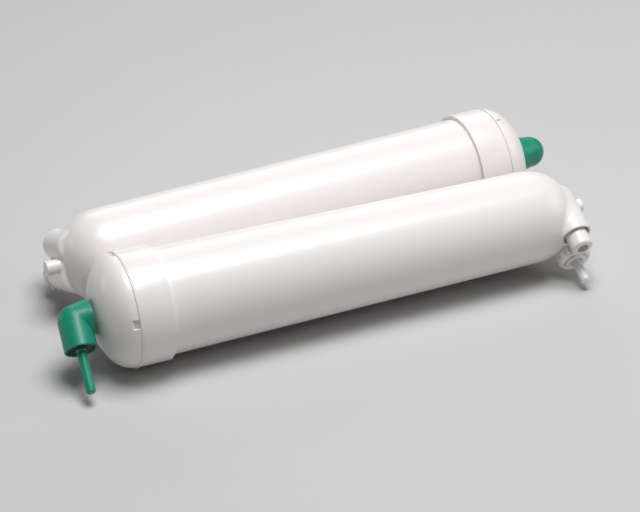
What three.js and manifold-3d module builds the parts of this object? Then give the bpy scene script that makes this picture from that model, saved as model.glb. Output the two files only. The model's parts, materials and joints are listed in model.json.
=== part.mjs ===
// Two inline water filter canisters lying side by side, head to tail, with the plugs they ship with.
// Millimetres, +Z up. Each canister is built along its own +X axis: x = 0 is the open edge of the
// welded cap's collar, negative x runs into the cap and elbow, positive x runs to the two-port end.
// In a canister's own frame the two ports point along -Y, side by side in Z.
import * as THREE from 'three';
import { mergeVertices } from 'three/addons/utils/BufferGeometryUtils.js';
import Module from 'manifold-3d';

const wasm = await Module();
wasm.setup();

// Facets around each kind of round piece.
const BODY_SIDES = 32;
const PORT_SIDES = 20;
const SMALL_SIDES = 12;

const GAP = 0.3;                    // between pieces that touch

// Sump: tube, shoulder and ports in one moulding that narrows away from its open end.
const TUBE_RADIUS = 31.75;
const DRAFT = 3.7 / 270;            // loss of radius per millimetre of length
const WALL = 2.6;
const OPEN_END = -14;               // tube edge, up inside the cap
const SHOULDER = { start: 238, depth: 29, power: 2.3 };
const CAVITY_SHOULDER = SHOULDER.start - 5;
const END_WALL = 252;               // inside face of the closed end
const tubeRadius = (x) => TUBE_RADIUS - DRAFT * Math.max(x, 0);

// Cap: spin-welded over the tube's open end.
const COLLAR = { radius: 34.3, length: 20.2 };
const BEAD = { width: 1.2, radius: 34.7 };      // raised line between collar and dome
const DOME = { start: -(COLLAR.length + BEAD.width), radius: 33.9, power: 2.05 };
const ELBOW_SEAT = -40.5;           // outer face of the dome
const CAP_WALL = 3;
const CAP_BOSS = { radius: 11, depth: 11, sealRadius: 8.4, sealStart: 2.9 };
const NOTCHES = 4;                  // drive notches for the welding tool
const NOTCH = { length: 4.4, width: 6, depth: 2.4, turn: 49 };

// Ports at the closed end.
const PORT_1 = { x: 259.8, side: 9.5 };         // where each port's axis crosses the canister's
const PORT_2 = { x: 261.2, side: -8.6 };
const PORT_RADIUS = 9.6;
const PORT_BACK = -5.5;             // closed end of both port barrels
const PORT_MOUTH = 26.2;
const PORT_1_SOCKET = 10;           // floor of each port's seal bore
const PORT_2_SOCKET = 15;
const PORT_1_COLLET_END = 36.2;
const PORT_2_COLLET_END = 33.8;
const PORT_2_PLUG_TIP = 48.6;
const NUT = { rib: 4.6, length: 6.4, radius: 10.6, valley: 9.7, ribs: 14 };
const NECK = { radius: 8.2, length: 3.6 };      // of port 2, inside the nut
const SPIGOT = { radius: 4.4, end: 277.5 };
const OUTLET_BORE = 2.6;            // from the cartridge to the ports
const LINK_BORE = 1.8;              // from port to port
const PORT_BORE = { radius: 3.2, floor: -3 };

// Push-fit sockets: radii from the mouth inwards, then how far above the socket's floor each piece sits.
const SOCKET = { mouth: 8.3, seal: 7.2 };
const SEAL_LIFT = 0.3;
const GRIP_RING_LIFT = 3;
const COLLET_LIFT = 5.3;            // leaves the collet room to be pressed in
const PLUG_LIFT = 0.4;
const COLLET_RADIUS = 6.8;
const STEM_RADIUS = 2.9;

// Elbow at the cap. Distances along its outlet run from the canister's axis.
const ELBOW_X = -50.6;
const ELBOW_LEG = 9.75;
const ELBOW_BASE = { radius: 11.8, thickness: 1.5, neck: 11.1 };
const ELBOW_MOUTH = 18.5;
const ELBOW_SOCKET = 8.5;
const ELBOW_STEM = { radius: 6.2, length: 10.5, bore: 3.4 };
const ELBOW_TURN = 11;              // from the ports' direction to the elbow's outlet
const ELBOW_LEAN = 4;               // of the outlet, away from the cap
const ELBOW_PLUG_TIP = 45;

// Cartridge: a carbon block between two end caps, pushed by a spring onto the outlet pocket.
const CARTRIDGE = { start: 6, end: 225.5, radius: 25, cap: 3.5, lip: 8, lipWall: 0.6 };
const BLOCK = { start: 10, end: 221.5, inner: 8, outer: 23.4 };
const CORE = { inner: 6, outer: 7.6 };
const WRAP = { start: 14.5, end: 215.5, inner: 23.8, outer: 24.8 };
const SPRING_BUTTON = { start: 2.5, radius: 9 };
const OUTLET_NIPPLE = { radius: 5.3, bore: 3, end: END_WALL - 4 };
const OUTLET_POCKET = { inner: 7.4, outer: 9.4, start: END_WALL - 13 };

// How the two canisters lie: turned about their own axes so that the ports point down and outwards.
const PORT_ROLL = 25;
const AXIS_HEIGHT = 34.4;
const NEAR_X = -102.6;
const FAR = { x: 126.3, y: 67.4, yaw: 182.2 };

const radians = THREE.MathUtils.degToRad;

// --- turning plain three.js geometry into solids and back ---

function toSolid(geometry) {
  const bare = geometry.clone();
  for (const name of Object.keys(bare.attributes)) {
    if (name !== 'position') bare.deleteAttribute(name);
  }
  const merged = mergeVertices(bare, 1e-4);
  const position = merged.getAttribute('position');
  const index = merged.getIndex();
  const triangles = [];
  let volume = 0;
  const [a, b, c] = [new THREE.Vector3(), new THREE.Vector3(), new THREE.Vector3()];
  for (let i = 0; i < index.count; i += 3) {
    const corner = [index.getX(i), index.getX(i + 1), index.getX(i + 2)];
    if (new Set(corner).size < 3) continue;
    triangles.push(corner);
    a.fromBufferAttribute(position, corner[0]);
    b.fromBufferAttribute(position, corner[1]);
    c.fromBufferAttribute(position, corner[2]);
    volume += a.dot(b.cross(c));
  }
  if (volume < 0) triangles.forEach((corner) => corner.reverse());
  return new wasm.Manifold(new wasm.Mesh({
    numProp: 3,
    vertProperties: new Float32Array(position.array),
    triVerts: new Uint32Array(triangles.flat()),
  }));
}

function toGeometry(solid) {
  const mesh = solid.getMesh();
  const geometry = new THREE.BufferGeometry();
  geometry.setAttribute('position', new THREE.BufferAttribute(mesh.vertProperties, 3));
  geometry.setIndex(new THREE.BufferAttribute(mesh.triVerts, 1));
  geometry.computeVertexNormals();
  return geometry;
}

// A piece turned about the X axis from [x, radius] points.
function turned(profile, sides = PORT_SIDES) {
  const points = profile.map(([x, radius]) => new THREE.Vector2(radius, x));
  const geometry = new THREE.LatheGeometry(points, sides);
  geometry.rotateZ(-Math.PI / 2);
  return toSolid(geometry);
}

// A plain bar or bore from x0 to x1.
function bar(x0, x1, radius, sides = PORT_SIDES) {
  return turned([[x0, 0], [x0, radius], [x1, radius], [x1, 0]], sides);
}

// A tube from x0 to x1.
function sleeve(x0, x1, inner, outer, sides = PORT_SIDES) {
  const profile = [[x0, inner], [x0, outer], [x1, outer], [x1, inner], [x0, inner]];
  return turned(profile, sides);
}

function box(size, centre) {
  const geometry = new THREE.BoxGeometry(...size);
  geometry.translate(...centre);
  return toSolid(geometry);
}

function sealRing(x, radius, thickness, sides = SMALL_SIDES) {
  const points = [];
  for (let i = 0; i <= 5; i++) {
    const angle = (i / 5) * 2 * Math.PI;
    points.push([x + thickness * Math.cos(angle), radius + thickness * Math.sin(angle)]);
  }
  return turned(points, sides);
}

// A coil spring along X with flat-cut ends.
function coil(x0, x1, radius, wire, turns) {
  class Helix extends THREE.Curve {
    getPoint(t, target = new THREE.Vector3()) {
      const angle = t * turns * 2 * Math.PI;
      return target.set(x0 + t * (x1 - x0), radius * Math.cos(angle), radius * Math.sin(angle));
    }
  }
  const section = new THREE.Shape();
  for (let i = 0; i < 4; i++) {
    const angle = (i / 4) * 2 * Math.PI;
    const point = [wire * Math.cos(angle), wire * Math.sin(angle)];
    if (i === 0) section.moveTo(...point);
    else section.lineTo(...point);
  }
  const options = { extrudePath: new Helix(), steps: turns * 9, bevelEnabled: false };
  return toSolid(new THREE.ExtrudeGeometry(section, options));
}

// Turns a solid built along +X so that it runs outward along a port at the given angle past -Y,
// leaning towards -X.
function alongPort(solid, x, side = 0, turn = 0, lean = 0) {
  const matrix = new THREE.Matrix4().makeRotationX(radians(turn));
  matrix.multiply(new THREE.Matrix4().makeTranslation(x, 0, side));
  matrix.multiply(new THREE.Matrix4().makeRotationZ(-Math.PI / 2 - radians(lean)));
  return solid.transform(Array.from(matrix.elements));
}

// Points of a rounded end from radius r0 at x0 to the axis, depth long; a power of 2 is an ellipse.
function roundedEnd(x0, depth, r0, count, power) {
  const points = [];
  for (let i = 0; i <= count; i++) {
    const angle = (i / count) * Math.PI / 2;
    const out = Math.sin(angle) ** (2 / power);
    const across = Math.cos(angle) ** (2 / power);
    points.push([x0 + depth * out, i === count ? 0 : r0 * across]);
  }
  return points;
}

const joined = (first, ...rest) => rest.reduce((sum, piece) => sum.add(piece), first);
const cut = (first, ...rest) => rest.reduce((left, piece) => left.subtract(piece), first);

// --- materials ---

const plastic = (color, roughness) => new THREE.MeshStandardMaterial({ color, roughness });
const WHITE = () => plastic('#ece6e4', 0.32);
const GREEN = () => plastic('#12725a', 0.42);
const NATURAL = () => plastic('#f2f0ea', 0.5);
const CARBON = () => plastic('#1c1c1e', 0.95);
const FLEECE = () => plastic('#e4e2da', 0.95);
const RUBBER = () => plastic('#16181a', 0.7);
const STEEL = () => new THREE.MeshStandardMaterial({ color: '#b9bcc0', roughness: 0.3, metalness: 1 });

// --- the pieces of one canister ---

const toPort1 = (solid) => alongPort(solid, PORT_1.x, PORT_1.side);
const toPort2 = (solid) => alongPort(solid, PORT_2.x, PORT_2.side);
const toElbow = (solid) => alongPort(solid, ELBOW_X, 0, ELBOW_TURN, ELBOW_LEAN);

function sump() {
  const outerRadius = tubeRadius(SHOULDER.start);
  const outside = roundedEnd(SHOULDER.start, SHOULDER.depth, outerRadius, 6, SHOULDER.power);
  const innerRadius = tubeRadius(CAVITY_SHOULDER) - WALL;
  const inside = roundedEnd(CAVITY_SHOULDER, END_WALL - CAVITY_SHOULDER, innerRadius, 4, 3);
  const shell = turned([
    ...outside.reverse(),
    [0, TUBE_RADIUS],
    [OPEN_END, TUBE_RADIUS],
    [OPEN_END, TUBE_RADIUS - WALL],
    [0, TUBE_RADIUS - WALL],
    ...inside,
  ], BODY_SIDES);
  const pocket = sleeve(OUTLET_POCKET.start, END_WALL + 1, OUTLET_POCKET.inner, OUTLET_POCKET.outer);
  const barrel = turned([
    [PORT_BACK, 0], [PORT_BACK, PORT_RADIUS - 2.2], [PORT_BACK + 1.2, PORT_RADIUS - 0.5],
    [PORT_BACK + 2.8, PORT_RADIUS], [PORT_MOUTH, PORT_RADIUS], [PORT_MOUTH, 0],
  ]);
  const neck = toPort2(bar(PORT_MOUTH - 1, PORT_MOUTH + NECK.length, NECK.radius));
  const spigot = bar(PORT_1.x, SPIGOT.end, SPIGOT.radius);
  const solid = joined(shell, pocket, toPort1(barrel), toPort2(barrel), neck, spigot);

  const bore1 = toPort1(joined(
    bar(PORT_1_SOCKET + COLLET_LIFT + 1.7, PORT_MOUTH + 1, SOCKET.mouth),
    bar(PORT_1_SOCKET, PORT_1_SOCKET + COLLET_LIFT + 2, SOCKET.seal),
    bar(PORT_BORE.floor, PORT_1_SOCKET + 1, PORT_BORE.radius),
  ));
  const bore2 = toPort2(joined(
    bar(PORT_2_SOCKET, PORT_MOUTH + NECK.length + 1, SOCKET.seal),
    bar(PORT_BORE.floor, PORT_2_SOCKET + 1, PORT_BORE.radius),
  ));
  const pitch = PORT_1.side - PORT_2.side;
  const link = toSolid(new THREE.CylinderGeometry(LINK_BORE, LINK_BORE, pitch, SMALL_SIDES)
    .rotateX(Math.PI / 2).translate(PORT_1.x, 0, PORT_1.side - pitch / 2));
  const outlet = bar(END_WALL - 1, PORT_1.x, OUTLET_BORE, SMALL_SIDES);
  return cut(solid, bore1, bore2, link, outlet);
}

function cap() {
  const mirror = ([x, radius]) => [-x, radius];
  const domeDepth = DOME.start - ELBOW_SEAT;
  const outside = roundedEnd(-DOME.start, domeDepth, DOME.radius, 6, DOME.power).map(mirror);
  const cavity = -OPEN_END + GAP;
  const cavityDepth = -ELBOW_SEAT - CAP_WALL - cavity;
  const inside = roundedEnd(cavity, cavityDepth, TUBE_RADIUS - WALL, 4, DOME.power).map(mirror);
  const shell = turned([
    ...outside.reverse(),
    [DOME.start, BEAD.radius],
    [-COLLAR.length, BEAD.radius],
    [-COLLAR.length, COLLAR.radius],
    [0, COLLAR.radius],
    [0, TUBE_RADIUS + GAP],
    [OPEN_END - GAP, TUBE_RADIUS + GAP],
    ...inside,
  ], BODY_SIDES);
  const boss = bar(ELBOW_SEAT + 1.5, ELBOW_SEAT + CAP_BOSS.depth, CAP_BOSS.radius);
  const bore = joined(
    bar(ELBOW_SEAT - 1, ELBOW_SEAT + CAP_BOSS.sealStart + 0.1, ELBOW_STEM.radius + GAP),
    bar(ELBOW_SEAT + CAP_BOSS.sealStart, ELBOW_SEAT + CAP_BOSS.depth + 1, CAP_BOSS.sealRadius),
  );
  const notches = [];
  for (let i = 0; i < NOTCHES; i++) {
    const centre = [DOME.start - NOTCH.length / 2 + 0.4, 0, COLLAR.radius - NOTCH.depth / 2];
    const size = [NOTCH.length, NOTCH.width, NOTCH.depth];
    const matrix = new THREE.Matrix4().makeRotationX(radians(NOTCH.turn + i * 360 / NOTCHES));
    notches.push(box(size, centre).transform(Array.from(matrix.elements)));
  }
  return cut(joined(shell, boss), bore, ...notches);
}

function elbow() {
  const baseFace = ELBOW_SEAT - GAP;
  const baseBack = baseFace - ELBOW_BASE.thickness;
  const run = turned([
    [baseFace, 0], [baseFace, ELBOW_BASE.radius], [baseBack, ELBOW_BASE.radius],
    [baseBack, ELBOW_BASE.neck], [ELBOW_X - 2.4, ELBOW_LEG + 0.45], [ELBOW_X - 6.4, ELBOW_LEG - 0.85],
    [ELBOW_X - 9, ELBOW_LEG - 3.55], [ELBOW_X - 10, 0],
  ]);
  const outlet = toElbow(turned([
    [-9.7, 0], [-8.8, 5.5], [-6.2, 8.4], [-2.5, ELBOW_LEG], [ELBOW_MOUTH, ELBOW_LEG],
    [ELBOW_MOUTH, 0],
  ]));
  const stem = bar(baseBack, ELBOW_SEAT + ELBOW_STEM.length, ELBOW_STEM.radius);
  const passage = bar(ELBOW_X, ELBOW_SEAT + ELBOW_STEM.length + 1, ELBOW_STEM.bore, SMALL_SIDES);
  const bore = toElbow(joined(
    bar(ELBOW_MOUTH - 3, ELBOW_MOUTH + 1, SOCKET.mouth),
    bar(ELBOW_SOCKET, ELBOW_MOUTH - 2.9, SOCKET.seal),
    bar(-3, ELBOW_SOCKET + 0.1, ELBOW_STEM.bore),
  ));
  return cut(joined(run, outlet, stem), passage, bore);
}

// Release collet with a chamfered lip at its outer end.
function collet(start, end, lip, bore) {
  return turned([
    [start, bore], [start, COLLET_RADIUS], [end - 1.6, COLLET_RADIUS], [end - 1.6, lip],
    [end - 0.4, lip], [end, lip - 0.5], [end, bore], [start, bore],
  ], SMALL_SIDES);
}

function gripRing(socketFloor) {
  const start = socketFloor + GRIP_RING_LIFT;
  return sleeve(start, start + 0.6, 4.5, 6.9, SMALL_SIDES);
}

function socketSeal(socketFloor) {
  const thickness = 1.15;
  return sealRing(socketFloor + SEAL_LIFT + thickness, 5.7, thickness);
}

// Transport plug: a stem with a soft nose in the socket and a chamfered tip outside.
function plug(socketFloor, tip) {
  const start = socketFloor + PLUG_LIFT;
  return turned([
    [start, 0], [start, STEM_RADIUS - 0.6], [start + 1, STEM_RADIUS],
    [tip - 1.2, STEM_RADIUS - 0.15], [tip, STEM_RADIUS - 0.9], [tip, 0],
  ], SMALL_SIDES);
}

// Retaining ring with castellations round its rim.
function portNut() {
  const outline = new THREE.Shape();
  const steps = NUT.ribs * 4;
  for (let i = 0; i < steps; i++) {
    const angle = ((i + 0.5) / steps) * 2 * Math.PI;
    const radius = i % 4 < 2 ? NUT.radius : NUT.valley;
    const point = [radius * Math.cos(angle), radius * Math.sin(angle)];
    if (i === 0) outline.moveTo(...point);
    else outline.lineTo(...point);
  }
  const ribbed = new THREE.ExtrudeGeometry(outline, { depth: NUT.rib, bevelEnabled: false });
  ribbed.rotateY(Math.PI / 2).translate(PORT_MOUTH + GAP, 0, 0);
  const front = bar(PORT_MOUTH + NUT.rib, PORT_MOUTH + NUT.length, NUT.valley);
  const skirt = bar(PORT_MOUTH - 1, PORT_MOUTH + NECK.length + GAP, NECK.radius + GAP);
  const through = bar(PORT_MOUTH, PORT_MOUTH + NUT.length + 1, SOCKET.seal);
  return cut(joined(toSolid(ribbed), front), skirt, through);
}

function inletEndCap() {
  const { start, radius, cap: thickness, lip, lipWall } = CARTRIDGE;
  const disc = turned([
    [start, 0], [start, radius], [start + lip, radius], [start + lip, radius - lipWall],
    [start + thickness, radius - lipWall], [start + thickness, 0],
  ], BODY_SIDES);
  return joined(disc, bar(SPRING_BUTTON.start, start + 1, SPRING_BUTTON.radius));
}

function outletEndCap() {
  const { end, radius, cap: thickness, lip, lipWall } = CARTRIDGE;
  const disc = turned([
    [end - lip, radius - lipWall], [end - lip, radius], [end, radius], [end, 0],
    [end - thickness, 0], [end - thickness, radius - lipWall], [end - lip, radius - lipWall],
  ], BODY_SIDES);
  const nipple = bar(end - 1, OUTLET_NIPPLE.end, OUTLET_NIPPLE.radius);
  return cut(joined(disc, nipple), bar(end - lip, END_WALL, OUTLET_NIPPLE.bore, SMALL_SIDES));
}

// Every piece of one canister as [name, solid, material].
function canisterPieces() {
  const elbowCollet = collet(ELBOW_SOCKET + COLLET_LIFT, ELBOW_MOUTH + 0.2, 7.9, 3.6);
  const collet1 = collet(PORT_1_SOCKET + COLLET_LIFT, PORT_1_COLLET_END, COLLET_RADIUS, 4.1);
  const collet2 = collet(PORT_2_SOCKET + COLLET_LIFT, PORT_2_COLLET_END, COLLET_RADIUS, 3.6);
  const block = sleeve(BLOCK.start, BLOCK.end, BLOCK.inner, BLOCK.outer);
  const core = sleeve(BLOCK.start + 0.5, BLOCK.end - 0.5, CORE.inner, CORE.outer, SMALL_SIDES);
  const stemSeal = sealRing(ELBOW_SEAT + 6, 7.3, 0.8);
  const outletSeal = sealRing(END_WALL - 8, 6.35, 0.75);
  const cartridgeSpring = coil(ELBOW_SEAT + 12, CARTRIDGE.start - 1, 10.6, 0.9, 4);
  return [
    ['sump', sump(), WHITE()],
    ['cap', cap(), WHITE()],
    ['carbon_block', block, CARBON()],
    ['core_tube', core, NATURAL()],
    ['prefilter_wrap', sleeve(WRAP.start, WRAP.end, WRAP.inner, WRAP.outer), FLEECE()],
    ['inlet_end_cap', inletEndCap(), NATURAL()],
    ['outlet_end_cap', outletEndCap(), NATURAL()],
    ['outlet_seal', outletSeal, RUBBER()],
    ['cartridge_spring', cartridgeSpring, STEEL()],
    ['elbow', elbow(), GREEN()],
    ['elbow_stem_seal', stemSeal, RUBBER()],
    ['elbow_collet', toElbow(elbowCollet), GREEN()],
    ['elbow_grip_ring', toElbow(gripRing(ELBOW_SOCKET)), STEEL()],
    ['elbow_socket_seal', toElbow(socketSeal(ELBOW_SOCKET)), RUBBER()],
    ['elbow_plug', toElbow(plug(ELBOW_SOCKET, ELBOW_PLUG_TIP)), GREEN()],
    ['port_1_collet', toPort1(collet1), WHITE()],
    ['port_1_grip_ring', toPort1(gripRing(PORT_1_SOCKET)), STEEL()],
    ['port_1_seal', toPort1(socketSeal(PORT_1_SOCKET)), RUBBER()],
    ['port_2_nut', toPort2(portNut()), WHITE()],
    ['port_2_collet', toPort2(collet2), WHITE()],
    ['port_2_grip_ring', toPort2(gripRing(PORT_2_SOCKET)), STEEL()],
    ['port_2_seal', toPort2(socketSeal(PORT_2_SOCKET)), RUBBER()],
    ['port_2_plug', toPort2(plug(PORT_2_SOCKET, PORT_2_PLUG_TIP)), WHITE()],
  ];
}

function canister(name) {
  const group = new THREE.Group();
  for (const [piece, solid, material] of canisterPieces()) {
    const mesh = new THREE.Mesh(toGeometry(solid), material);
    mesh.name = `${name}_${piece}`;
    group.add(mesh);
  }
  group.rotation.x = radians(PORT_ROLL);
  return group;
}

const near = canister('filter_a');
near.position.set(NEAR_X, 0, AXIS_HEIGHT);

const far = new THREE.Group();
far.add(canister('filter_b'));
far.rotation.z = radians(FAR.yaw);
far.position.set(FAR.x, FAR.y + Math.sin(radians(FAR.yaw - 180)) * FAR.x, AXIS_HEIGHT);

// The origin is under the middle of the pair, on the surface it lies on.
const set = new THREE.Group();
set.add(near, far);
const bounds = new THREE.Box3().setFromObject(set, true);
const middle = bounds.getCenter(new THREE.Vector3());
set.position.set(-middle.x, -middle.y, -bounds.min.z);
set.updateMatrixWorld(true);

export default set;
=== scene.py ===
"""Looks of a pair of inline water filter canisters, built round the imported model.

Pieces are modelled in millimetres in a canister's own frame: x runs along the canister's axis from the
open edge of the cap's collar towards the two ports, and the ports point along -y, side by side in z.
"""
import json
import math

import bmesh
import bpy
import numpy as np
from mathutils import Matrix, Vector


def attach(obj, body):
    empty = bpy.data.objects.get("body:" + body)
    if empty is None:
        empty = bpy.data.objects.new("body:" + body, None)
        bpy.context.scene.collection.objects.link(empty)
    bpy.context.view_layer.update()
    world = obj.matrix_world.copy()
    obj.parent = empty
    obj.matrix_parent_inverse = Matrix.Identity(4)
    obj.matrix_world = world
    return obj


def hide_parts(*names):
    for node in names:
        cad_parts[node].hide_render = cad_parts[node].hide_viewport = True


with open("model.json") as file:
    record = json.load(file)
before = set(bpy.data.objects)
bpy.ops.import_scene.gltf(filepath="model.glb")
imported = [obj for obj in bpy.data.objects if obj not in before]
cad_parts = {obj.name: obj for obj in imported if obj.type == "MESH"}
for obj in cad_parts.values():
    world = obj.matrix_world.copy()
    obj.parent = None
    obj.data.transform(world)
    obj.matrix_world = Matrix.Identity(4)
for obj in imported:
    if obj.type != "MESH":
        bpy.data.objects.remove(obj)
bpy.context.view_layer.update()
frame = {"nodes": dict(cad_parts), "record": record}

MM = 0.001
CANISTERS = ("filter_a", "filter_b")

# The canister's own frame, millimetres.
TUBE_RADIUS = 31.75
DRAFT = 3.7 / 270                   # loss of radius per millimetre of length
WALL = 2.6
OPEN_END = -14
SHOULDER_START = 238
SHOULDER_DEPTH = 29
SHOULDER_POWER = 2.3
END_WALL = 252
SKIN_JOIN = 234                     # where the turned tube meets the moulded port end
COLLAR_RADIUS = 34.3
COLLAR_LENGTH = 20.2
BEAD_RADIUS = 34.7                  # raised line between collar and dome
BEAD_WIDTH = 1.2
DOME_RADIUS = 33.9
DOME_POWER = 2.05
ELBOW_SEAT = -40.5
PORT_1_AXIS = (259.8, 9.5)          # x and side where each port's axis crosses the canister's
PORT_2_AXIS = (261.2, -8.6)
PORT_RADIUS = 9.6
PORT_BACK = -5.5
PORT_MOUTH = 26.2
BARREL_END = PORT_MOUTH + 6         # before the barrel is cut off flat at its mouth
PORT_1_SOCKET_RADIUS = 8.3
PORT_2_SOCKET_RADIUS = 7.2
PORT_SOCKET_FLOOR = 17
PORT_SOCKET_END = 40                # in the open, past the mouth
NECK_RADIUS = 8.2                   # of the neck inside the retaining ring
NECK_START = 10
NECK_END = PORT_MOUTH + 3.6
SPIGOT_RADIUS = 4.4
SPIGOT_END = 277.5
ELBOW_X = -50.6
ELBOW_TURN = 11
ELBOW_LEAN = 4
ELBOW_MOUTH = 18.5
ELBOW_GAP = 0.8                     # between the cap and the elbow's base
ELBOW_BASE_RADIUS = 11.7            # of the run, next to the cap
ELBOW_RUN_TAPER = 2.2               # lost from the base to the corner
ELBOW_TAPER_POWER = 0.8
ELBOW_LEG_RADIUS = 9.75
ELBOW_LEG_START = -0.9
ELBOW_STEM_RADIUS = 6.1
ELBOW_STEM_END = ELBOW_SEAT + 2.5   # inside the cap
ELBOW_SOCKET_RADIUS = 8.2
ELBOW_SOCKET_FLOOR = ELBOW_MOUTH - 2.7
ELBOW_SOCKET_END = ELBOW_MOUTH + 8  # in the open, past the mouth

# Facets round each kind of round piece.
BODY_SIDES = 144
FITTING_SIDES = 64
ROUND_POINTS = 5                    # along each rounded corner of an outline
ON_AXIS = 1e-6                      # a profile radius below this is a single point on the axis


def tube_radius(x):
    return TUBE_RADIUS - DRAFT * np.maximum(x, 0)


# --- where things are ---

def mount(name):
    return next(m for m in frame["record"]["mounts"] if m["name"] == name)


def canister_place(name):
    """Matrix from a canister's own frame, in millimetres, to the row frame, in metres."""
    spigot = mount(f"{name}_spigot_face")
    along = Vector(spigot["axis"])
    back = -Vector(mount(f"{name}_port_1_face")["axis"])
    turn = Matrix((along, back, along.cross(back))).transposed()
    origin = Vector(spigot["pos_m"]) - along * SPIGOT_END * MM
    return Matrix.Translation(origin) @ turn.to_4x4() @ Matrix.Scale(MM, 4)


def branch(x, side=0, turn=0, lean=0):
    """Matrix that stands a piece turned about x on a port: turn degrees past -y, lean towards -x."""
    roll = Matrix.Rotation(math.radians(turn), 4, "X")
    aim = Matrix.Rotation(-math.pi / 2 - math.radians(lean), 4, "Z")
    return roll @ Matrix.Translation((x, 0, side)) @ aim


PORT_1 = branch(*PORT_1_AXIS)
PORT_2 = branch(*PORT_2_AXIS)
ELBOW_OUTLET = branch(ELBOW_X, 0, ELBOW_TURN, ELBOW_LEAN)
PLACES = {name: canister_place(name) for name in CANISTERS}


def reach(node, place):
    """Where a CAD node starts and ends along x of a placing, and its radius about that x."""
    inverse = place.inverted()
    points = np.array([inverse @ v.co for v in frame["nodes"][node].data.vertices])
    radius = np.hypot(points[:, 1], points[:, 2]).max()
    return points[:, 0].min(), points[:, 0].max(), radius


# --- camera ---

CAMERA_OFFSET = Vector((-373.5, -1144.3, 757.4)) * MM   # from the middle of canister A's collar edge
CAMERA_AZIMUTH = -22.59
CAMERA_ELEVATION = 31.22
CAMERA_ROLL = -0.64
CAMERA_LENS = 137.5
CAMERA_SENSOR = 36


def add_camera():
    data = bpy.data.cameras.new("camera")
    data.lens = CAMERA_LENS
    data.sensor_width = CAMERA_SENSOR
    camera = bpy.data.objects.new("camera", data)
    bpy.context.scene.collection.objects.link(camera)
    camera.location = PLACES["filter_a"].translation + CAMERA_OFFSET
    heading = Matrix.Rotation(math.radians(CAMERA_AZIMUTH), 4, "Z")
    tilt = Matrix.Rotation(math.radians(90 - CAMERA_ELEVATION), 4, "X")
    roll = Matrix.Rotation(math.radians(CAMERA_ROLL), 4, "Z")
    camera.rotation_euler = (heading @ tilt @ roll).to_euler()
    bpy.context.scene.camera = camera


# --- meshes ---

def arc_points(corner, before, after, radius):
    """Points of a round of the given radius at a corner of an outline."""
    corner, before, after = (np.array(p, float) for p in (corner, before, after))
    to_before = (before - corner) / np.linalg.norm(before - corner)
    to_after = (after - corner) / np.linalg.norm(after - corner)
    angle = math.acos(np.clip(to_before @ to_after, -1, 1))
    reach_back = radius / math.tan(angle / 2)
    start = corner + to_before * reach_back
    end = corner + to_after * reach_back
    middle = (to_before + to_after) / np.linalg.norm(to_before + to_after)
    centre = corner + middle * radius / math.sin(angle / 2)
    points = []
    for i in range(ROUND_POINTS):
        t = i / (ROUND_POINTS - 1)
        ray = (start - centre) * (1 - t) + (end - centre) * t
        points.append(tuple(centre + ray / np.linalg.norm(ray) * radius))
    return points


def rounded(outline):
    """An outline of (x, r) or (x, r, round) points with its rounds filled in."""
    points = []
    for i, point in enumerate(outline):
        if len(point) == 2:
            points.append(point)
            continue
        before = outline[i - 1][:2]
        after = outline[(i + 1) % len(outline)][:2]
        points.extend(arc_points(point[:2], before, after, point[2]))
    return points


def superellipse(x0, depth, r0, power, count):
    """Rounded end from radius r0 at x0 to the axis; depth may be negative."""
    points = []
    for i in range(count + 1):
        angle = i / count * math.pi / 2
        out = math.sin(angle) ** (2 / power)
        across = 0 if i == count else math.cos(angle) ** (2 / power)
        points.append((x0 + depth * out, r0 * across))
    return points


def even_angles(count):
    return [i / count * 2 * math.pi for i in range(count)]


def lathe(profile, angles=None, closed=False):
    """A piece turned about x. An open profile that stops short of the axis leaves an open ring there."""
    if angles is None:
        angles = even_angles(FITTING_SIDES)
    mesh = bmesh.new()
    rings = []
    for x, r in profile:
        if r < ON_AXIS:
            rings.append([mesh.verts.new((x, 0, 0))])
        else:
            rings.append([mesh.verts.new((x, r * math.cos(a), r * math.sin(a))) for a in angles])
    pairs = list(zip(rings, rings[1:]))
    if closed:
        pairs.append((rings[-1], rings[0]))
    count = len(angles)
    for low, high in pairs:
        for i in range(count):
            j = (i + 1) % count
            face = [low[i % len(low)], low[j % len(low)], high[j % len(high)], high[i % len(high)]]
            face = list(dict.fromkeys(face))
            if len(face) > 2:
                mesh.faces.new(face)
    bmesh.ops.recalc_face_normals(mesh, faces=mesh.faces)
    return mesh


# Distance functions of moulded shapes, in millimetres, negative inside.

def smooth_union(a, b, blend):
    h = np.clip(0.5 + 0.5 * (b - a) / blend, 0, 1)
    return b * (1 - h) + a * h - blend * h * (1 - h)


def smooth_cut(a, b, blend):
    return -smooth_union(-a, b, blend)


def rod(off_axis, along, radius, start, end, edge):
    """Round bar with rounded rims."""
    out = off_axis - radius + edge
    past = np.abs(along - (start + end) / 2) - (end - start) / 2 + edge
    inner = np.minimum(np.maximum(out, past), 0)
    return inner + np.hypot(np.maximum(out, 0), np.maximum(past, 0)) - edge


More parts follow.
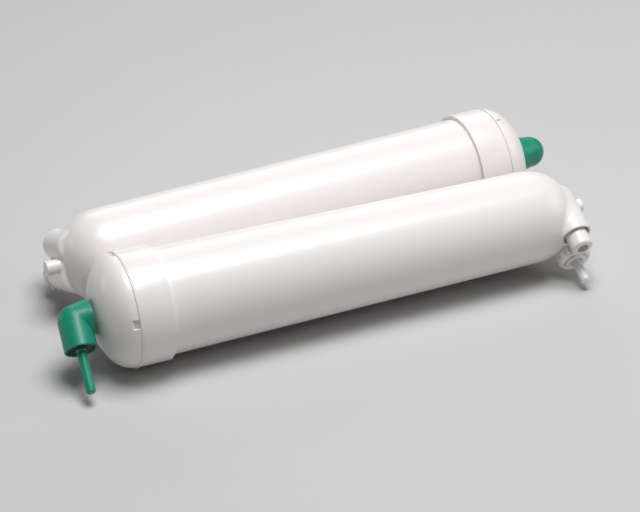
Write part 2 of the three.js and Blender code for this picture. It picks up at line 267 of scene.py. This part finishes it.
def port_end(x, y, z):
    """Shoulder, port barrels and spigot of the sump."""
    past = np.maximum(x - SHOULDER_START, 0) / SHOULDER_DEPTH
    across = np.hypot(y, z) / tube_radius(np.minimum(x, SHOULDER_START))
    size = (past ** SHOULDER_POWER + across ** SHOULDER_POWER) ** (1 / SHOULDER_POWER)
    solid = (size - 1) * SHOULDER_DEPTH
    off_port_1, off_port_2 = (np.hypot(x - px, z - side) for px, side in (PORT_1_AXIS, PORT_2_AXIS))
    for off_axis in (off_port_1, off_port_2):
        barrel = rod(off_axis, -y, PORT_RADIUS, PORT_BACK, BARREL_END, edge=2.2)
        barrel = smooth_cut(barrel, PORT_MOUTH + y, blend=0.9)
        solid = smooth_union(solid, barrel, blend=2.6)
    neck = rod(off_port_2, -y, NECK_RADIUS, NECK_START, NECK_END, edge=0.4)
    solid = smooth_union(solid, neck, blend=0.3)
    spigot = rod(np.hypot(y, z), x, SPIGOT_RADIUS, END_WALL, SPIGOT_END, edge=0.6)
    solid = smooth_union(solid, spigot, blend=1.6)
    socket_1 = rod(off_port_1, -y, PORT_1_SOCKET_RADIUS, PORT_SOCKET_FLOOR, PORT_SOCKET_END, edge=0.2)
    socket_2 = rod(off_port_2, -y, PORT_2_SOCKET_RADIUS, PORT_SOCKET_FLOOR, PORT_SOCKET_END, edge=0.2)
    solid = smooth_cut(solid, socket_1, blend=0.7)
    return smooth_cut(solid, socket_2, blend=0.3)


def elbow_shape(x, y, z):
    """Run, outlet leg and mouth of the elbow."""
    aim = ELBOW_OUTLET.to_3x3() @ Vector((1, 0, 0))
    along = (x - ELBOW_X) * aim.x + y * aim.y + z * aim.z
    distance = (x - ELBOW_X) ** 2 + y ** 2 + z ** 2
    off_leg = np.sqrt(np.maximum(distance - along ** 2, 0))
    off_axis = np.hypot(y, z)
    past = np.clip((ELBOW_SEAT - x) / (ELBOW_SEAT - ELBOW_X), 0, 1)
    run_radius = ELBOW_BASE_RADIUS - ELBOW_RUN_TAPER * past ** ELBOW_TAPER_POWER
    run = np.where(x > ELBOW_X, off_axis, np.hypot(off_axis, x - ELBOW_X)) - run_radius
    run = smooth_cut(run, ELBOW_SEAT - ELBOW_GAP - x, blend=0.5)
    leg = rod(off_leg, along, ELBOW_LEG_RADIUS, ELBOW_LEG_START, ELBOW_MOUTH, edge=0.45)
    leg = smooth_cut(leg, ELBOW_SEAT - ELBOW_GAP - x, blend=0.3)
    solid = smooth_union(run, leg, blend=0.15)
    stem = rod(off_axis, x, ELBOW_STEM_RADIUS, ELBOW_X, ELBOW_STEM_END, edge=0.3)
    solid = smooth_union(solid, stem, blend=0.2)
    socket = rod(off_leg, along, ELBOW_SOCKET_RADIUS, ELBOW_SOCKET_FLOOR, ELBOW_SOCKET_END, edge=0.2)
    return smooth_cut(solid, socket, blend=0.5)


def surface_net(shape, low, high, step):
    """Points and quads of a distance function's surface inside a box; the box may cut it open."""
    counts = [int(round((h - l) / step)) + 1 for l, h in zip(low, high)]
    lines = [l + step * np.arange(n) for l, n in zip(low, counts)]
    value = shape(*np.meshgrid(*lines, indexing="ij"))
    inside = value < 0
    cells = tuple(n - 1 for n in counts)
    total = np.zeros(cells + (3,))
    crossings = np.zeros(cells)
    for axis in range(3):
        others = [a for a in range(3) if a != axis]
        for shift_b in (0, 1):
            for shift_c in (0, 1):
                start = [0, 0, 0]
                start[others[0]] = shift_b
                start[others[1]] = shift_c
                end = list(start)
                end[axis] = 1
                first = tuple(slice(s, s + n) for s, n in zip(start, cells))
                last = tuple(slice(s, s + n) for s, n in zip(end, cells))
                a, b = value[first], value[last]
                crossed = inside[first] != inside[last]
                t = np.where(crossed, a / np.where(crossed, a - b, 1), 0)
                point = np.array(start, float) + np.zeros(cells + (3,))
                point[..., axis] += t
                total += point * crossed[..., None]
                crossings += crossed
    active = crossings > 0
    number = np.full(cells, -1)
    number[active] = np.arange(active.sum())
    corner = np.argwhere(active)
    points = (corner + total[active] / crossings[active][:, None]) * step + np.array(low)
    quads = []
    for axis in range(3):
        b, c = (axis + 1) % 3, (axis + 2) % 3
        first = [slice(1, -1)] * 3
        first[axis] = slice(0, -1)
        last = list(first)
        last[axis] = slice(1, None)
        changed = np.argwhere(inside[tuple(first)] != inside[tuple(last)])
        base = changed + 1
        base[:, axis] -= 1
        outward = inside[tuple(base.T)]
        ring = []
        for back_b, back_c in ((1, 1), (0, 1), (0, 0), (1, 0)):
            cell = base.copy()
            cell[:, b] -= back_b
            cell[:, c] -= back_c
            ring.append(number[tuple(cell.T)])
        ring = np.stack(ring, 1)
        ring[~outward] = ring[~outward][:, ::-1]
        quads.append(ring)
    return settle(shape, points), np.concatenate(quads)


def settle(shape, points, steps=4, probe=0.02):
    """Moves points onto the surface of a distance function."""
    for _ in range(steps):
        value = shape(*points.T)
        slope = np.stack([
            (shape(*(points + probe * axis).T) - shape(*(points - probe * axis).T)) / (2 * probe)
            for axis in np.eye(3)
        ], 1)
        steepness = np.maximum((slope ** 2).sum(1), 0.2)
        points = points - slope * (value / steepness)[:, None]
    return points


def net_mesh(points, quads):
    mesh = bmesh.new()
    verts = [mesh.verts.new(p) for p in points]
    for quad in quads:
        mesh.faces.new([verts[i] for i in quad])
    return mesh


def bridge(mesh, left, right):
    """Joins two open rings round the x axis, whose numbers of points may differ."""
    def angle(v):
        return math.atan2(v.co.z, v.co.y)

    left, right = sorted(left, key=angle), sorted(right, key=angle)
    i = j = 0
    while i < len(left) or j < len(right):
        a, b = left[i % len(left)], right[j % len(right)]
        next_a = angle(left[(i + 1) % len(left)]) + (2 * math.pi if i + 1 >= len(left) else 0)
        next_b = angle(right[(j + 1) % len(right)]) + (2 * math.pi if j + 1 >= len(right) else 0)
        if j >= len(right) or (i < len(left) and next_a < next_b):
            mesh.faces.new((a, left[(i + 1) % len(left)], b))
            i += 1
        else:
            mesh.faces.new((a, right[(j + 1) % len(right)], b))
            j += 1


def open_rings(mesh):
    """The points on each open edge of a mesh, as one list for each ring."""
    left = {v for e in mesh.edges if e.is_boundary for v in e.verts}
    rings = []
    while left:
        ring, todo = [], [left.pop()]
        while todo:
            vert = todo.pop()
            ring.append(vert)
            for edge in vert.link_edges:
                other = edge.other_vert(vert)
                if edge.is_boundary and other in left:
                    left.remove(other)
                    todo.append(other)
        rings.append(ring)
    return rings


def combine(*meshes):
    result = meshes[0]
    for mesh in meshes[1:]:
        data = bpy.data.meshes.new("part")
        mesh.to_mesh(data)
        result.from_mesh(data)
        bpy.data.meshes.remove(data)
        mesh.free()
    return result


# --- shapes of the visible pieces, in the canister's own frame ---

PARTING_HALF_WIDTH = 0.35           # of the fine line that the mould leaves along the tube
PARTING_HEIGHT = 0.10
TUBE_STATIONS = (OPEN_END, 0.6, 2, 12, 30, 60, 90, 120, 150, 180, 205, 225, SKIN_JOIN - 1)
PORT_END_LOW = (SKIN_JOIN - 0.3, -31.5, -30.9)
PORT_END_HIGH = (SPIGOT_END + 1, 30.9, 30.9)
PORT_END_STEP = 0.6
CAVITY_JOIN = SHOULDER_START - 5    # where the cavity starts to round off
CAVITY_POWER = 3


def sump_mesh():
    """Tube with a parting line on both sides, port end with its sockets, and the cavity's wall."""
    half_width = PARTING_HALF_WIDTH / TUBE_RADIUS
    lines = (math.pi / 2, 3 * math.pi / 2)
    spread = even_angles(BODY_SIDES)
    spread = [a for a in spread if min(abs(a - line) for line in lines) > 2.2 * half_width]
    for line in lines:
        spread += [line + half_width * step for step in (-2, -1, 0, 1, 2)]
    spread.sort()
    tube = lathe([(x, float(tube_radius(x))) for x in TUBE_STATIONS], angles=spread)
    for vert in tube.verts:
        angle = math.atan2(vert.co.z, vert.co.y) % (2 * math.pi)
        near_line = min(abs(angle - line) for line in lines) < 0.5 * half_width
        if near_line and 2 < vert.co.x < SKIN_JOIN - 2:
            vert.co.y *= 1 + PARTING_HEIGHT / TUBE_RADIUS
            vert.co.z *= 1 + PARTING_HEIGHT / TUBE_RADIUS
    end = net_mesh(*surface_net(port_end, PORT_END_LOW, PORT_END_HIGH, PORT_END_STEP))
    join_radius = float(tube_radius(SKIN_JOIN))
    for vert in open_rings(end)[0]:
        angle = math.atan2(vert.co.z, vert.co.y)
        vert.co = (SKIN_JOIN, join_radius * math.cos(angle), join_radius * math.sin(angle))
    mesh = combine(tube, end)
    rings = open_rings(mesh)
    rings.sort(key=lambda ring: sum(v.co.x for v in ring) / len(ring))
    bridge(mesh, rings[1], rings[2])
    # The cavity's wall: from the open end to the inside of the closed end.
    depth = END_WALL - CAVITY_JOIN
    inner_radius = float(tube_radius(SHOULDER_START)) - WALL
    wall = [(OPEN_END, TUBE_RADIUS - WALL), (0, TUBE_RADIUS - WALL)]
    wall += superellipse(CAVITY_JOIN, depth, inner_radius, CAVITY_POWER, count=10)
    cavity = lathe(wall, angles=spread)
    mesh = combine(mesh, cavity)
    rings = open_rings(mesh)
    rings.sort(key=lambda ring: math.hypot(ring[0].co.y, ring[0].co.z))
    bridge(mesh, rings[0], rings[1])
    bmesh.ops.recalc_face_normals(mesh, faces=mesh.faces)
    return mesh


NOTCHES = 4                         # for the tool that holds the cap
NOTCH_TURN = 49                     # from +z towards -y
NOTCH_HALF_WIDTH = 2.9
NOTCH_LENGTH = 3.6
NOTCH_FLOOR = 32.2
GROOVE_DEPTH = 0.4                  # of the fine step between collar and bead
GROOVE_WIDTH = 0.25
DOME_LEDGE = 0.1                    # flat foot of the dome, next to the bead
CAP_BORE = TUBE_RADIUS + 0.12
CAP_INSIDE_START = OPEN_END - 0.3
CAP_INSIDE_DEPTH = -23
CAP_INSIDE_POWER = 2.2
SEAT_BORE = 6.5                     # round the elbow's stem
SEAT_THROAT = 8.2                   # inside the cap, behind the seat
SEAT_CHAMFER = 7.4
SEAT_DEPTH = 3


def cap_mesh():
    """Domed cap: collar, weld bead, dome with drive notches, and the seat for the elbow."""
    dome_start = -COLLAR_LENGTH - BEAD_WIDTH
    dome_length = ELBOW_SEAT - dome_start + DOME_LEDGE
    dome = superellipse(dome_start - DOME_LEDGE, dome_length, DOME_RADIUS, DOME_POWER, count=30)
    inside = superellipse(
        CAP_INSIDE_START, CAP_INSIDE_DEPTH, TUBE_RADIUS - WALL, CAP_INSIDE_POWER, count=12)
    groove_radius = COLLAR_RADIUS - GROOVE_DEPTH
    bead_start = -COLLAR_LENGTH - GROOVE_WIDTH
    outline = rounded([
        (0, CAP_BORE),
        (0, COLLAR_RADIUS, 0.5),
        (-COLLAR_LENGTH, COLLAR_RADIUS, 0.1),
        (-COLLAR_LENGTH, groove_radius),
        (bead_start, groove_radius),
        (bead_start, BEAD_RADIUS, 0.3),
        (dome_start, BEAD_RADIUS, 0.5),
        (dome_start, DOME_RADIUS, 0.15),
    ])
    outline += [p for p in dome if p[1] > SEAT_THROAT]
    seat_back = ELBOW_SEAT + SEAT_DEPTH
    outline += rounded([(ELBOW_SEAT, SEAT_CHAMFER), (ELBOW_SEAT, SEAT_BORE, 0.4), (seat_back, SEAT_BORE)])
    outline += [(seat_back, SEAT_THROAT)]
    outline += [p for p in inside if p[1] > SEAT_THROAT][::-1]
    outline += [(CAP_INSIDE_START, CAP_BORE)]
    half_width = NOTCH_HALF_WIDTH / DOME_RADIUS
    turns = [90 + NOTCH_TURN + i * 360 / NOTCHES for i in range(NOTCHES)]
    notches = [math.radians(turn) % (2 * math.pi) for turn in turns]

    def from_notch(angle):
        return min(abs((angle - notch + math.pi) % (2 * math.pi) - math.pi) for notch in notches)

    angles = [a for a in even_angles(BODY_SIDES) if from_notch(a) > 1.3 * half_width]
    for notch in notches:
        for step in (-1.1, -1, -0.92, 0, 0.92, 1, 1.1):
            angles.append((notch + half_width * step) % (2 * math.pi))
    angles.sort()
    mesh = lathe(outline, angles=angles, closed=True)
    for vert in mesh.verts:
        off_axis = math.hypot(vert.co.y, vert.co.z)
        on_dome = -NOTCH_LENGTH < vert.co.x - dome_start < 0.02 and off_axis > NOTCH_FLOOR
        if on_dome and from_notch(math.atan2(vert.co.z, vert.co.y)) < 0.95 * half_width:
            vert.co.y *= NOTCH_FLOOR / off_axis
            vert.co.z *= NOTCH_FLOOR / off_axis
    return mesh


ELBOW_LOW = (-64.5, -25, -17)
ELBOW_HIGH = (-36.6, 15, 15)
ELBOW_STEP = 0.45


def elbow_mesh():
    mesh = net_mesh(*surface_net(elbow_shape, ELBOW_LOW, ELBOW_HIGH, ELBOW_STEP))
    bmesh.ops.recalc_face_normals(mesh, faces=mesh.faces)
    return mesh


COLLET_LIP_LENGTH = 1.9


def collet_mesh(start, end, lip, body, bore, nose):
    """Release collet: sleeve, with a lip where lip is wider than body, its outer rim rounded by nose."""
    outline = [(start, bore), (start, body)]
    if lip > body + 0.3:
        lip_start = end - COLLET_LIP_LENGTH
        outline += [(lip_start, body, 0.25), (lip_start, lip, 0.3), (end, lip, nose)]
    else:
        outline += [(end, body, nose)]
    outline += [(end, bore, 0.35)]
    return lathe(rounded(outline), closed=True)


def plug_mesh(start, tip, stem, root_end, root):
    """Transport plug: nose in the socket, wider root at the mouth, stem with a chamfered tip."""
    return lathe(rounded([
        (start, 0),
        (start, stem - 0.6, 0.3),
        (start + 1.4, stem, 0.4),
        (root_end - 3, stem, 0.2),
        (root_end - 2.2, root, 0.3),
        (root_end, root, 0.35),
        (root_end + 0.4, stem, 0.15),
        (tip - 0.9, stem - 0.05, 0.3),
        (tip, stem - 0.9, 0.25),
        (tip, 0),
    ]))


RIB_STEPS = 12                      # facets from one rib of the ring to the next
RIB_SHARPNESS = 9
RIB_WIDENING = 0.15
RING_FRONT = 1.7                    # length of the ring's plain front
RING_SKIRT_RADIUS = 8.4             # inside of the skirt round the neck
RING_SKIRT_DEPTH = 4.2


def nut_mesh(start, end, radius, valley, bore, ribs):
    """Castellated retaining ring: ribs round the back part and a plain chamfered front."""
    sides = ribs * RIB_STEPS
    lifts = []
    for i in range(sides):
        wave = math.cos(i / RIB_STEPS * 2 * math.pi)
        lifts.append(1 / (1 + math.exp(-RIB_SHARPNESS * (wave + RIB_WIDENING))))
    ribbed_end = end - RING_FRONT
    skirt_end = start + RING_SKIRT_DEPTH
    profile = rounded([
        (start, RING_SKIRT_RADIUS),
        (start, radius, 0.5),
        (ribbed_end, radius, 0.5),
        (ribbed_end + 0.05, valley, 0.02),
        (end, valley - 0.1, 0.7),
        (end, bore, 0.4),
        (skirt_end, bore),
        (skirt_end, RING_SKIRT_RADIUS),
    ])
    mesh = lathe(profile, angles=even_angles(sides), closed=True)
    for vert in mesh.verts:
        off_axis = math.hypot(vert.co.y, vert.co.z)
        if off_axis <= valley or vert.co.x > ribbed_end + 0.01:
            continue
        turn = math.atan2(vert.co.z, vert.co.y) % (2 * math.pi)
        lift = lifts[int(round(turn / (2 * math.pi) * sides)) % sides]
        scale = (valley + (off_axis - valley) * lift) / off_axis
        vert.co.y *= scale
        vert.co.z *= scale
    return mesh


# --- materials ---

COAT_ROUGHNESS = 0.12
BUMP_DISTANCE = 0.0004


def material(name, color, roughness, metallic, coat):
    made = bpy.data.materials.new(name)
    made.use_nodes = True
    shader = made.node_tree.nodes["Principled BSDF"]
    shader.inputs["Base Color"].default_value = (*color, 1)
    shader.inputs["Roughness"].default_value = roughness
    shader.inputs["Metallic"].default_value = metallic
    shader.inputs["Coat Weight"].default_value = coat
    shader.inputs["Coat Roughness"].default_value = COAT_ROUGHNESS
    made.diffuse_color = (*color, 1)
    return made


def add_grain(made, color, roughness, spread, scale, swing, bump, bump_scale, stretch=(1, 1, 1)):
    """Slight mottling of colour by spread and of roughness by swing, and a fine surface bump."""
    tree = made.node_tree
    nodes, links = tree.nodes, tree.links
    shader = nodes["Principled BSDF"]
    place = nodes.new("ShaderNodeTexCoord")
    mapping = nodes.new("ShaderNodeMapping")
    mapping.inputs["Scale"].default_value = stretch
    links.new(place.outputs["Object"], mapping.inputs["Vector"])

    broad = nodes.new("ShaderNodeTexNoise")
    broad.inputs["Scale"].default_value = scale
    broad.inputs["Detail"].default_value = 4
    links.new(mapping.outputs["Vector"], broad.inputs["Vector"])
    tint = nodes.new("ShaderNodeValToRGB")
    tint.color_ramp.elements[0].position = 0.3
    tint.color_ramp.elements[1].position = 0.7
    tint.color_ramp.elements[0].color = (*[c * (1 - spread) for c in color], 1)
    tint.color_ramp.elements[1].color = (*[min(c * (1 + spread), 1) for c in color], 1)
    links.new(broad.outputs["Fac"], tint.inputs["Fac"])
    links.new(tint.outputs["Color"], shader.inputs["Base Color"])

    gloss = nodes.new("ShaderNodeMapRange")
    gloss.inputs["To Min"].default_value = roughness - swing
    gloss.inputs["To Max"].default_value = roughness + swing
    links.new(broad.outputs["Fac"], gloss.inputs["Value"])
    links.new(gloss.outputs["Result"], shader.inputs["Roughness"])

    fine = nodes.new("ShaderNodeTexNoise")
    fine.inputs["Scale"].default_value = bump_scale
    fine.inputs["Detail"].default_value = 3
    links.new(mapping.outputs["Vector"], fine.inputs["Vector"])
    relief = nodes.new("ShaderNodeBump")
    relief.inputs["Strength"].default_value = bump
    relief.inputs["Distance"].default_value = BUMP_DISTANCE
    links.new(fine.outputs["Fac"], relief.inputs["Height"])
    links.new(relief.outputs["Normal"], shader.inputs["Normal"])


def finish(name, color, roughness, metallic=0.0, coat=0.0, **grain):
    made = material(name, color, roughness, metallic, coat)
    add_grain(made, color, roughness, **grain)
    return made


HOUSING_WHITE = (0.885, 0.845, 0.83)
FITTING_WHITE = (0.88, 0.85, 0.83)
GREEN = (0.006, 0.262, 0.165)
# BLACK colours the elbow's collet; its darkness is partly painted shade for the deep mouth of the elbow
BLACK = (0.012, 0.016, 0.015)
NATURAL = (0.82, 0.80, 0.72)
CARBON = (0.018, 0.018, 0.020)
FLEECE = (0.78, 0.76, 0.70)
RUBBER = (0.015, 0.015, 0.017)
STEEL = (0.62, 0.63, 0.65)

FINISHES = {
    "housing": dict(
        name="housing white", color=HOUSING_WHITE, roughness=0.34, coat=0.12,
        spread=0.006, scale=18, swing=0.02, bump=0.03, bump_scale=420,
    ),
    "fitting": dict(
        name="fitting white", color=FITTING_WHITE, roughness=0.32, coat=0.12,
        spread=0.015, scale=40, swing=0.05, bump=0.06, bump_scale=700,
    ),
    "green": dict(
        name="green fitting", color=GREEN, roughness=0.40, coat=0.1,
        spread=0.10, scale=90, swing=0.06, bump=0.10, bump_scale=900,
    ),
    # Black collet in the elbow's mouth: its dark colour is partly painted shade, standing in for the
    # shade deep in the mouth
    "black": dict(
        name="black collet with painted shade", color=BLACK, roughness=0.3, coat=0.2,
        spread=0.15, scale=90, swing=0.05, bump=0.08, bump_scale=900,
    ),
    "natural": dict(
        name="natural plastic", color=NATURAL, roughness=0.46,
        spread=0.03, scale=50, swing=0.05, bump=0.08, bump_scale=500,
    ),
    "carbon": dict(
        name="pressed carbon", color=CARBON, roughness=0.85,
        spread=0.5, scale=600, swing=0.1, bump=0.9, bump_scale=1500,
    ),
    "fleece": dict(
        name="fleece", color=FLEECE, roughness=0.95,
        spread=0.08, scale=300, swing=0.04, bump=0.8, bump_scale=900, stretch=(0.2, 1, 1),
    ),
    "rubber": dict(
        name="black rubber", color=RUBBER, roughness=0.6,
        spread=0.2, scale=200, swing=0.08, bump=0.2, bump_scale=800,
    ),
    "steel": dict(
        name="stainless steel", color=STEEL, roughness=0.25, metallic=1.0,
        spread=0.05, scale=200, swing=0.06, bump=0.05, bump_scale=900, stretch=(1, 6, 1),
    ),
}


# --- placing pieces ---

STILL_PIECES = ("sump", "cap")      # on the canister's own body; the others each have one
SHARP_ANGLE = 35


def add_piece(name, mesh, canister, inner_place, node, body, surface, sharp_angle):
    """Puts a mesh made in a canister's own frame into the row frame, in place of a CAD node."""
    mesh.transform(PLACES[canister] @ inner_place)
    data = bpy.data.meshes.new(name)
    mesh.to_mesh(data)
    mesh.free()
    piece = bpy.data.objects.new(name, data)
    bpy.context.scene.collection.objects.link(piece)
    data.polygons.foreach_set("use_smooth", [True] * len(data.polygons))
    data.set_sharp_from_angle(angle=math.radians(sharp_angle))
    data.materials.append(surface)
    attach(piece, body)
    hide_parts(node)


def add_canister(name, surfaces):
    own_frame = Matrix.Identity(4)

    def put(piece, mesh, inner_place, surface, sharp_angle=SHARP_ANGLE):
        node = f"{name}_{piece}"
        body = name if piece in STILL_PIECES else node
        add_piece(f"{node}_look", mesh, name, inner_place, node, body,
                  surfaces[surface], sharp_angle)

    def spans(piece, inner_place):
        return reach(f"{name}_{piece}", PLACES[name] @ inner_place)

    put("sump", sump_mesh(), own_frame, "housing", sharp_angle=40)
    put("cap", cap_mesh(), own_frame, "housing")
    put("elbow", elbow_mesh(), own_frame, "green", sharp_angle=28)

    start, end, lip = spans("elbow_collet", ELBOW_OUTLET)
    collet = collet_mesh(start, end - 0.6, lip, body=6.8, bore=3.6, nose=0.6)
    # the collet's black is partly painted shade for the deep, shadowed mouth of the elbow
    put("elbow_collet", collet, ELBOW_OUTLET, "black")
    start, tip, stem = spans("elbow_plug", ELBOW_OUTLET)
    plug = plug_mesh(start, tip, stem, root_end=ELBOW_MOUTH + 0.5, root=3.5)
    put("elbow_plug", plug, ELBOW_OUTLET, "green")

    start, end, body = spans("port_1_collet", PORT_1)
    collet = collet_mesh(start, end, body, body, bore=3.7, nose=1.8)
    put("port_1_collet", collet, PORT_1, "fitting")
    start, end, body = spans("port_2_collet", PORT_2)
    collet = collet_mesh(start, end, body, body, bore=3.6, nose=0.8)
    put("port_2_collet", collet, PORT_2, "fitting")
    start, end, radius = spans("port_2_nut", PORT_2)
    ring = nut_mesh(start, end, radius, valley=9.7, bore=7.2, ribs=14)
    put("port_2_nut", ring, PORT_2, "fitting", sharp_angle=30)
    start, tip, stem = spans("port_2_plug", PORT_2)
    plug = plug_mesh(start, tip, stem, root_end=start + 8, root=stem + 0.3)
    put("port_2_plug", plug, PORT_2, "fitting")


INNER_FINISH = {
    "carbon_block": "carbon",
    "core_tube": "natural",
    "prefilter_wrap": "fleece",
    "inlet_end_cap": "natural",
    "outlet_end_cap": "natural",
    "outlet_seal": "rubber",
    "cartridge_spring": "steel",
    "elbow_stem_seal": "rubber",
    "elbow_grip_ring": "steel",
    "elbow_socket_seal": "rubber",
    "port_1_grip_ring": "steel",
    "port_1_seal": "rubber",
    "port_2_grip_ring": "steel",
    "port_2_seal": "rubber",
}


def finish_inner_pieces(surfaces):
    for name in CANISTERS:
        for piece, surface in INNER_FINISH.items():
            node = frame["nodes"][f"{name}_{piece}"]
            node.data.materials.clear()
            node.data.materials.append(surfaces[surface])


# --- floor and light ---

FLOOR_GREY = (0.58, 0.58, 0.58)
FLOOR_SIZE = 4
FLOOR_GAP = 0.0004                  # below the lowest point of the model
WORLD_STRENGTH = 0.08


def add_floor():
    mesh = bmesh.new()
    bmesh.ops.create_grid(mesh, x_segments=8, y_segments=8, size=FLOOR_SIZE)
    data = bpy.data.meshes.new("floor")
    mesh.to_mesh(data)
    mesh.free()
    floor = bpy.data.objects.new("floor", data)
    bpy.context.scene.collection.objects.link(floor)
    floor.location.z = -FLOOR_GAP
    grain = dict(spread=0.004, scale=6, swing=0.02, bump=0.02, bump_scale=300)
    paper = finish("pale paper", FLOOR_GREY, roughness=0.9, **grain)
    paper.node_tree.nodes["Principled BSDF"].inputs["Specular IOR Level"].default_value = 0.1
    floor.data.materials.append(paper)


def add_softbox(name, position, target, width, height, power):
    data = bpy.data.lights.new(name, "AREA")
    data.shape = "RECTANGLE"
    data.size = width
    data.size_y = height
    data.energy = power
    light = bpy.data.objects.new(name, data)
    bpy.context.scene.collection.objects.link(light)
    light.location = position
    light.rotation_euler = (Vector(target) - Vector(position)).to_track_quat("-Z", "Y").to_euler()


def add_light():
    add_softbox("overhead", (0.12, -0.12, 1.5), (0, 0, 0), width=0.9, height=0.8, power=22.5)
    add_softbox("back", (0.5, 1.7, 0.9), (0, 0, 0.03), width=1.4, height=0.7, power=6)
    add_softbox("right", (1.5, -0.5, 0.8), (0, 0, 0.03), width=0.8, height=0.8, power=4)
    add_softbox("left rim", (-1.4, 0.9, 0.3), (-0.1, 0, 0.03), width=0.5, height=0.3, power=1.5)
    world = bpy.data.worlds.new("studio")
    world.use_nodes = True
    background = world.node_tree.nodes["Background"]
    background.inputs["Color"].default_value = (1, 1, 1, 1)
    background.inputs["Strength"].default_value = WORLD_STRENGTH
    bpy.context.scene.world = world
    bpy.context.scene.view_settings.view_transform = "Standard"


add_camera()
finishes = {key: finish(**values) for key, values in FINISHES.items()}
for canister_name in CANISTERS:
    add_canister(canister_name, finishes)
finish_inner_pieces(finishes)
add_floor()
add_light()
